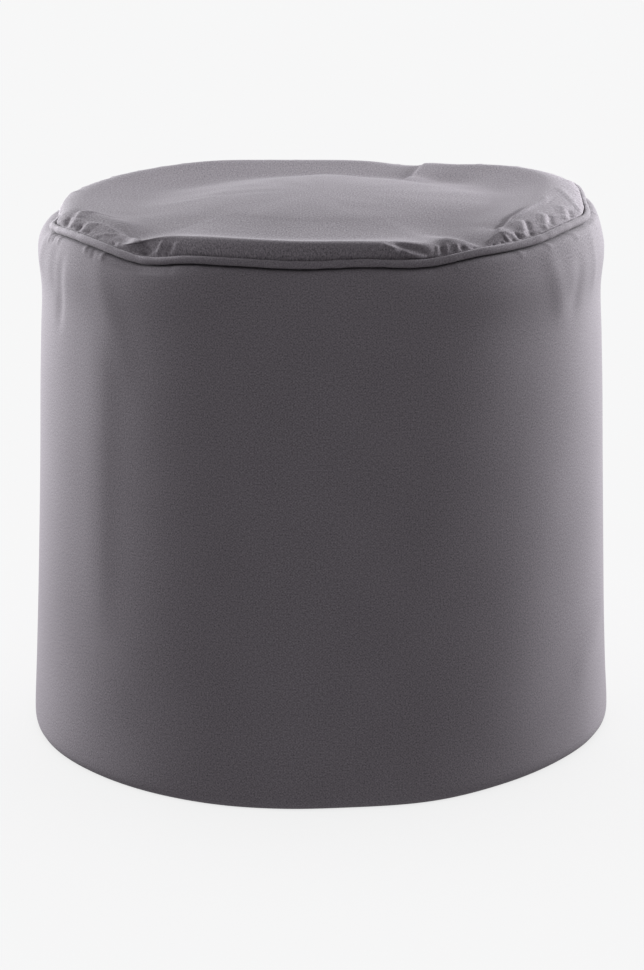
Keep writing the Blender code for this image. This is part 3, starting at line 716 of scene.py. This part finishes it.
def woven(name, thread, turn, slub_and_sheen, slub_and_sheen_share):
    """Plain-woven polyester cloth: two sets of threads over and under each other, with a fine melange.

    The threads' height is the size of sin(pi u / thread) sin(pi v / thread), and its sign says
    which set is on top. thread and slub_and_sheen, the width and length of a streak, are in
    metres, and turn is the weave's in degrees. The streaks are slubs in the yarn, and where
    slub_and_sheen_share is large they are mostly painted sheen of the threads. A real thread
    is near 0.4 mm; it is drawn coarser so that it shows.
    """
    finish = bpy.data.materials.new(name)
    finish.use_nodes = True
    tree = finish.node_tree
    uv = add(tree, "UVMap", {}, uv_map=WEAVE_UV)
    turned = add(tree, "Mapping", {"Vector": uv, "Rotation": (0, 0, math.radians(turn))})
    split = add(tree, "SeparateXYZ", {0: turned}).node
    waves = []
    for axis in (0, 1):
        phase = add(tree, "Math", {0: split.outputs[axis], 1: math.pi / thread}, operation="MULTIPLY")
        waves.append(add(tree, "Math", {0: phase}, operation="SINE"))
    over = add(tree, "Math", {0: waves[0], 1: waves[1]}, operation="MULTIPLY")
    height = add(tree, "Math", {0: over}, operation="ABSOLUTE")
    stretched = add(tree, "Mapping", {"Vector": turned, "Scale": (1 / slub_and_sheen[0], 1 / slub_and_sheen[1], 1)})
    grain = add(tree, "TexNoise", {"Vector": turned, **GRAIN})
    # The stretched streaks: slubs in the yarn, and on the top, where their share is large, painted sheen of
    # the threads.
    slubs_and_sheen = add(tree, "TexNoise", {"Vector": stretched, **SLUB_AND_SHEEN_NOISE})
    clouds = add(tree, "TexNoise", {"Vector": uv, **CLOUDS})
    mix = 0.5 * (1 - GRAIN_SHARE - slub_and_sheen_share - CLOUD_SHARE)
    shares = ((grain, GRAIN_SHARE), (slubs_and_sheen, slub_and_sheen_share), (clouds, CLOUD_SHARE), (over, OVER_SHARE))
    for part, share in shares:
        mix = add(tree, "Math", {0: part, 1: share, 2: mix}, operation="MULTIPLY_ADD")
    ramp = add(tree, "ValToRGB", {0: mix}).node
    for stop, position, code in zip(ramp.color_ramp.elements, GREY_STOPS, GREYS):
        stop.position, stop.color = position, linear(code)
    relief = add(tree, "Math", {0: grain, 1: GRAIN_RELIEF, 2: height}, operation="MULTIPLY_ADD")
    bump = add(tree, "Bump", {"Height": relief, **RELIEF})
    rough = add(tree, "Math", {0: height, 1: -TOPS_SMOOTHER, 2: ROUGHNESS}, operation="MULTIPLY_ADD")
    shader = tree.nodes["Principled BSDF"]
    feed(shader, {"Base Color": ramp.outputs[0], "Normal": bump, "Roughness": rough})
    feed(shader, {"Sheen Tint": linear(FUZZ_COLOUR), **FINISH})
    return finish


# The photograph's view: a long lens, 2.7 m in front and pitched down to the pouf.
LENS, SENSOR = 120.3, 36.0
CAMERA_PLACE = (0.0005, -2.7002, 0.9457)
CAMERA_PITCH = 15.34

# Soft boxes round the pouf, in metres: the height that each one faces is aim, and its
# width and height are wide and tall. Power is in watts. lit are the pieces that it lights,
# and BELOW are all those below the top.
Box = namedtuple("Box", "name turn distance height aim wide tall power lit")
BELOW = ("side_cloth", "piping_cloth", "base_cloth")
BOXES = (
    Box("left_box", -119, 1.1, 0.6, 0.33, 0.9, 0.4, 39, BELOW),
    Box("left_rim_box", -129, 1.4, 0.52, 0.4, 0.8, 0.3, 36, ("top_cloth",)),
    Box("left_face_box", -82, 1.2, 0.62, 0.45, 0.5, 0.3, 4.2, ("top_cloth",)),
    Box("right_box", 121, 1.5, 0.8, 0.33, 1.2, 0.5, 81, BELOW),
    Box("right_rim_box", 107, 0.85, 0.56, 0.4, 0.5, 0.3, 25, ("top_cloth",)),
    Box("top_box", -142, 3.0, 2.2, 0.4, 2.2, 1.4, 158, ("top_cloth", "piping_cloth")),
)
BOX_LIGHT = "FCFEFF"

# The floor and its own sun, whose spread is in degrees, and the even light all round.
FLOOR_REACH = 12.0
FLOOR_GREY = "898989"
FLOOR_ROUGHNESS = 0.9
SUN_STRENGTH, SUN_SPREAD, SUN_HEIGHT = 10.35, 60, 3
FILL_LIGHT, FILL_STRENGTH = "F4F4F6", 0.468


def only_on(light, lit):
    """Lets a light fall on the given objects alone."""
    group = bpy.data.collections.new(light.name + "_lit")
    for obj in lit:
        group.objects.link(obj)
    light.light_linking.receiver_collection = group
    return group


def soft_box(box, lit):
    """An area light at a turn and a distance from the axis, facing the pouf at the height aim."""
    data = bpy.data.lights.new(box.name, "AREA")
    data.shape = "RECTANGLE"
    data.size, data.size_y, data.energy = box.wide, box.tall, box.power
    data.color = linear(BOX_LIGHT)[:3]
    made = place(box.name, data)
    angle = math.radians(box.turn)
    made.location = (box.distance * math.sin(angle), -box.distance * math.cos(angle), box.height)
    made.rotation_euler = (math.atan2(box.distance, box.height - box.aim), 0, angle)
    made.visible_camera = False
    only_on(made, lit)


def floor_plane():
    """The studio's pale floor: plain matt paint, which stays out of the light that the pouf gets."""
    paint = bpy.data.materials.new("matt_floor")
    paint.use_nodes = True
    look = {"Base Color": linear(FLOOR_GREY), "Roughness": FLOOR_ROUGHNESS, "Specular IOR Level": 0.0}
    feed(paint.node_tree.nodes["Principled BSDF"], look)
    mesh = bpy.data.meshes.new("floor")
    signs = ((-1, -1), (1, -1), (1, 1), (-1, 1))
    mesh.from_pydata([(x * FLOOR_REACH, y * FLOOR_REACH, 0) for x, y in signs], [], [(0, 1, 2, 3)])
    mesh.materials.append(paint)
    floor = place("floor", mesh)
    floor.visible_diffuse = False
    return floor


def studio(pieces):
    """The floor under its own sun, a low even light all round, and the soft boxes, each on its pieces."""
    floor = floor_plane()
    for box in BOXES:
        soft_box(box, [pieces[name] for name in box.lit])
    data = bpy.data.lights.new("floor_sun", "SUN")
    data.energy, data.angle = SUN_STRENGTH, math.radians(SUN_SPREAD)
    sun = place("floor_sun", data)
    sun.location = (0, 0, SUN_HEIGHT)
    sun.light_linking.blocker_collection = only_on(sun, [floor])
    world = bpy.data.worlds.new("studio")
    world.use_nodes = True
    feed(world.node_tree.nodes["Background"], {"Color": linear(FILL_LIGHT), "Strength": FILL_STRENGTH})
    bpy.context.scene.world = world
    bpy.context.scene.view_settings.view_transform = "Standard"


def camera():
    """The camera in its place, level from side to side."""
    data = bpy.data.cameras.new("camera")
    data.lens, data.sensor_width = LENS, SENSOR
    made = place("camera", data)
    made.location = CAMERA_PLACE
    made.rotation_euler = (math.radians(90 - CAMERA_PITCH), 0, 0)
    bpy.context.scene.camera = made


# Plain-woven melange polyester on the side band and the base: matt and even, a grey that
# breaks up into light and dark specks as near as the thread, and no shine.
CLOTH = woven("woven_polyester_grey", thread=1.2 * MM, turn=0, slub_and_sheen=(1.2 * MM, 1.2 * MM), slub_and_sheen_share=0.1)
# The same cloth on the top, with painted sheen: short streaks towards the back in its colour
# stand for the glint of its threads, over the slubs in the yarn.
TOP_CLOTH_PAINTED_SHEEN = woven(
    "woven_polyester_top_grey_painted_sheen", thread=1.2 * MM, turn=0, slub_and_sheen=(1.2 * MM, 3.4 * MM), slub_and_sheen_share=0.9
)
# The same cloth cut on the bias and pulled over the cord: its weave runs slantwise and is
# a little tighter.
BIAS_CLOTH = woven(
    "woven_polyester_bias_grey", thread=1.1 * MM, turn=45, slub_and_sheen=(1.2 * MM, 1.2 * MM), slub_and_sheen_share=0.1
)

# Each piece with the solid that it stands for, its finish and its slot.
MADE = (
    (top_cloth(), "top_panel", TOP_CLOTH_PAINTED_SHEEN, "woven_cloth"),
    (side_cloth(), "side_panel", CLOTH, "woven_cloth"),
    (piping_cloth(), "piping", BIAS_CLOTH, "piping_cloth"),
    (base_cloth(), "base_panel", CLOTH, "woven_cloth"),
)
for made, node, finish, slot in MADE:
    made.data.materials.append(finish)
    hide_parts(node)
    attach(made, "root")
PIECES = {made.name: made for made, *_ in MADE}

studio(PIECES)
camera()
